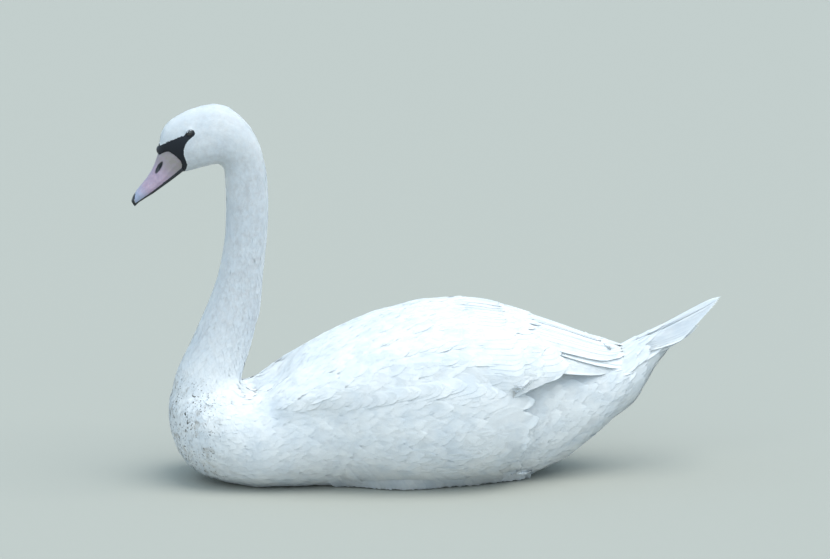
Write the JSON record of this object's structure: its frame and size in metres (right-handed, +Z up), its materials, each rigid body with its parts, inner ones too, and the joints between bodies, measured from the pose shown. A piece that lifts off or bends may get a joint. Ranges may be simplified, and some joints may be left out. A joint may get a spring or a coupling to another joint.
{
  "type": "mute swan",
  "caption": "Still, life-size mute swan afloat in pose: long curved neck, bill held down, wings folded, tail raised, feet tucked under a flat belly.",
  "frame": {"origin": "middle of the box, on the floor under the belly", "axes": "+Z up, -Y the way the bird faces, +X the bird's own left"},
  "size_m": [0.3196, 0.8174, 0.5226],
  "materials": {
    "plumage": "soft white feathers, matt",
    "neck": "short off-white feathers, matt",
    "bill": "mauve pink horn, satin",
    "black": "black horn and skin, satin",
    "eye": "dark brown, wet gloss",
    "foot": "grey black scaly skin, satin"
  },
  "bodies": {
    "root": {"bill_knob": "black", "bill_lower": "black", "bill_nail": "black", "bill_upper": "bill", "breast": "plumage", "claw_left_inner": "foot", "claw_left_middle": "foot", "claw_left_outer": "foot", "claw_right_inner": "foot", "claw_right_middle": "foot", "claw_right_outer": "foot", "eye_left": "eye", "eye_right": "eye", "flank_left": "plumage", "flank_right": "plumage", "foot_left": "foot", "foot_right": "foot", "head": "neck", "neck_base": "neck", "neck_lower": "neck", "neck_middle": "neck", "neck_upper": "neck", "shank_left": "foot", "shank_right": "foot", "tail": "plumage", "trunk": "plumage", "vent": "plumage", "wing_left_coverts": "plumage", "wing_left_primaries": "plumage", "wing_left_scapulars": "plumage", "wing_left_secondaries": "plumage", "wing_left_tertials": "plumage", "wing_right_coverts": "plumage", "wing_right_primaries": "plumage", "wing_right_scapulars": "plumage", "wing_right_secondaries": "plumage", "wing_right_tertials": "plumage"}
  },
  "joints": []
}
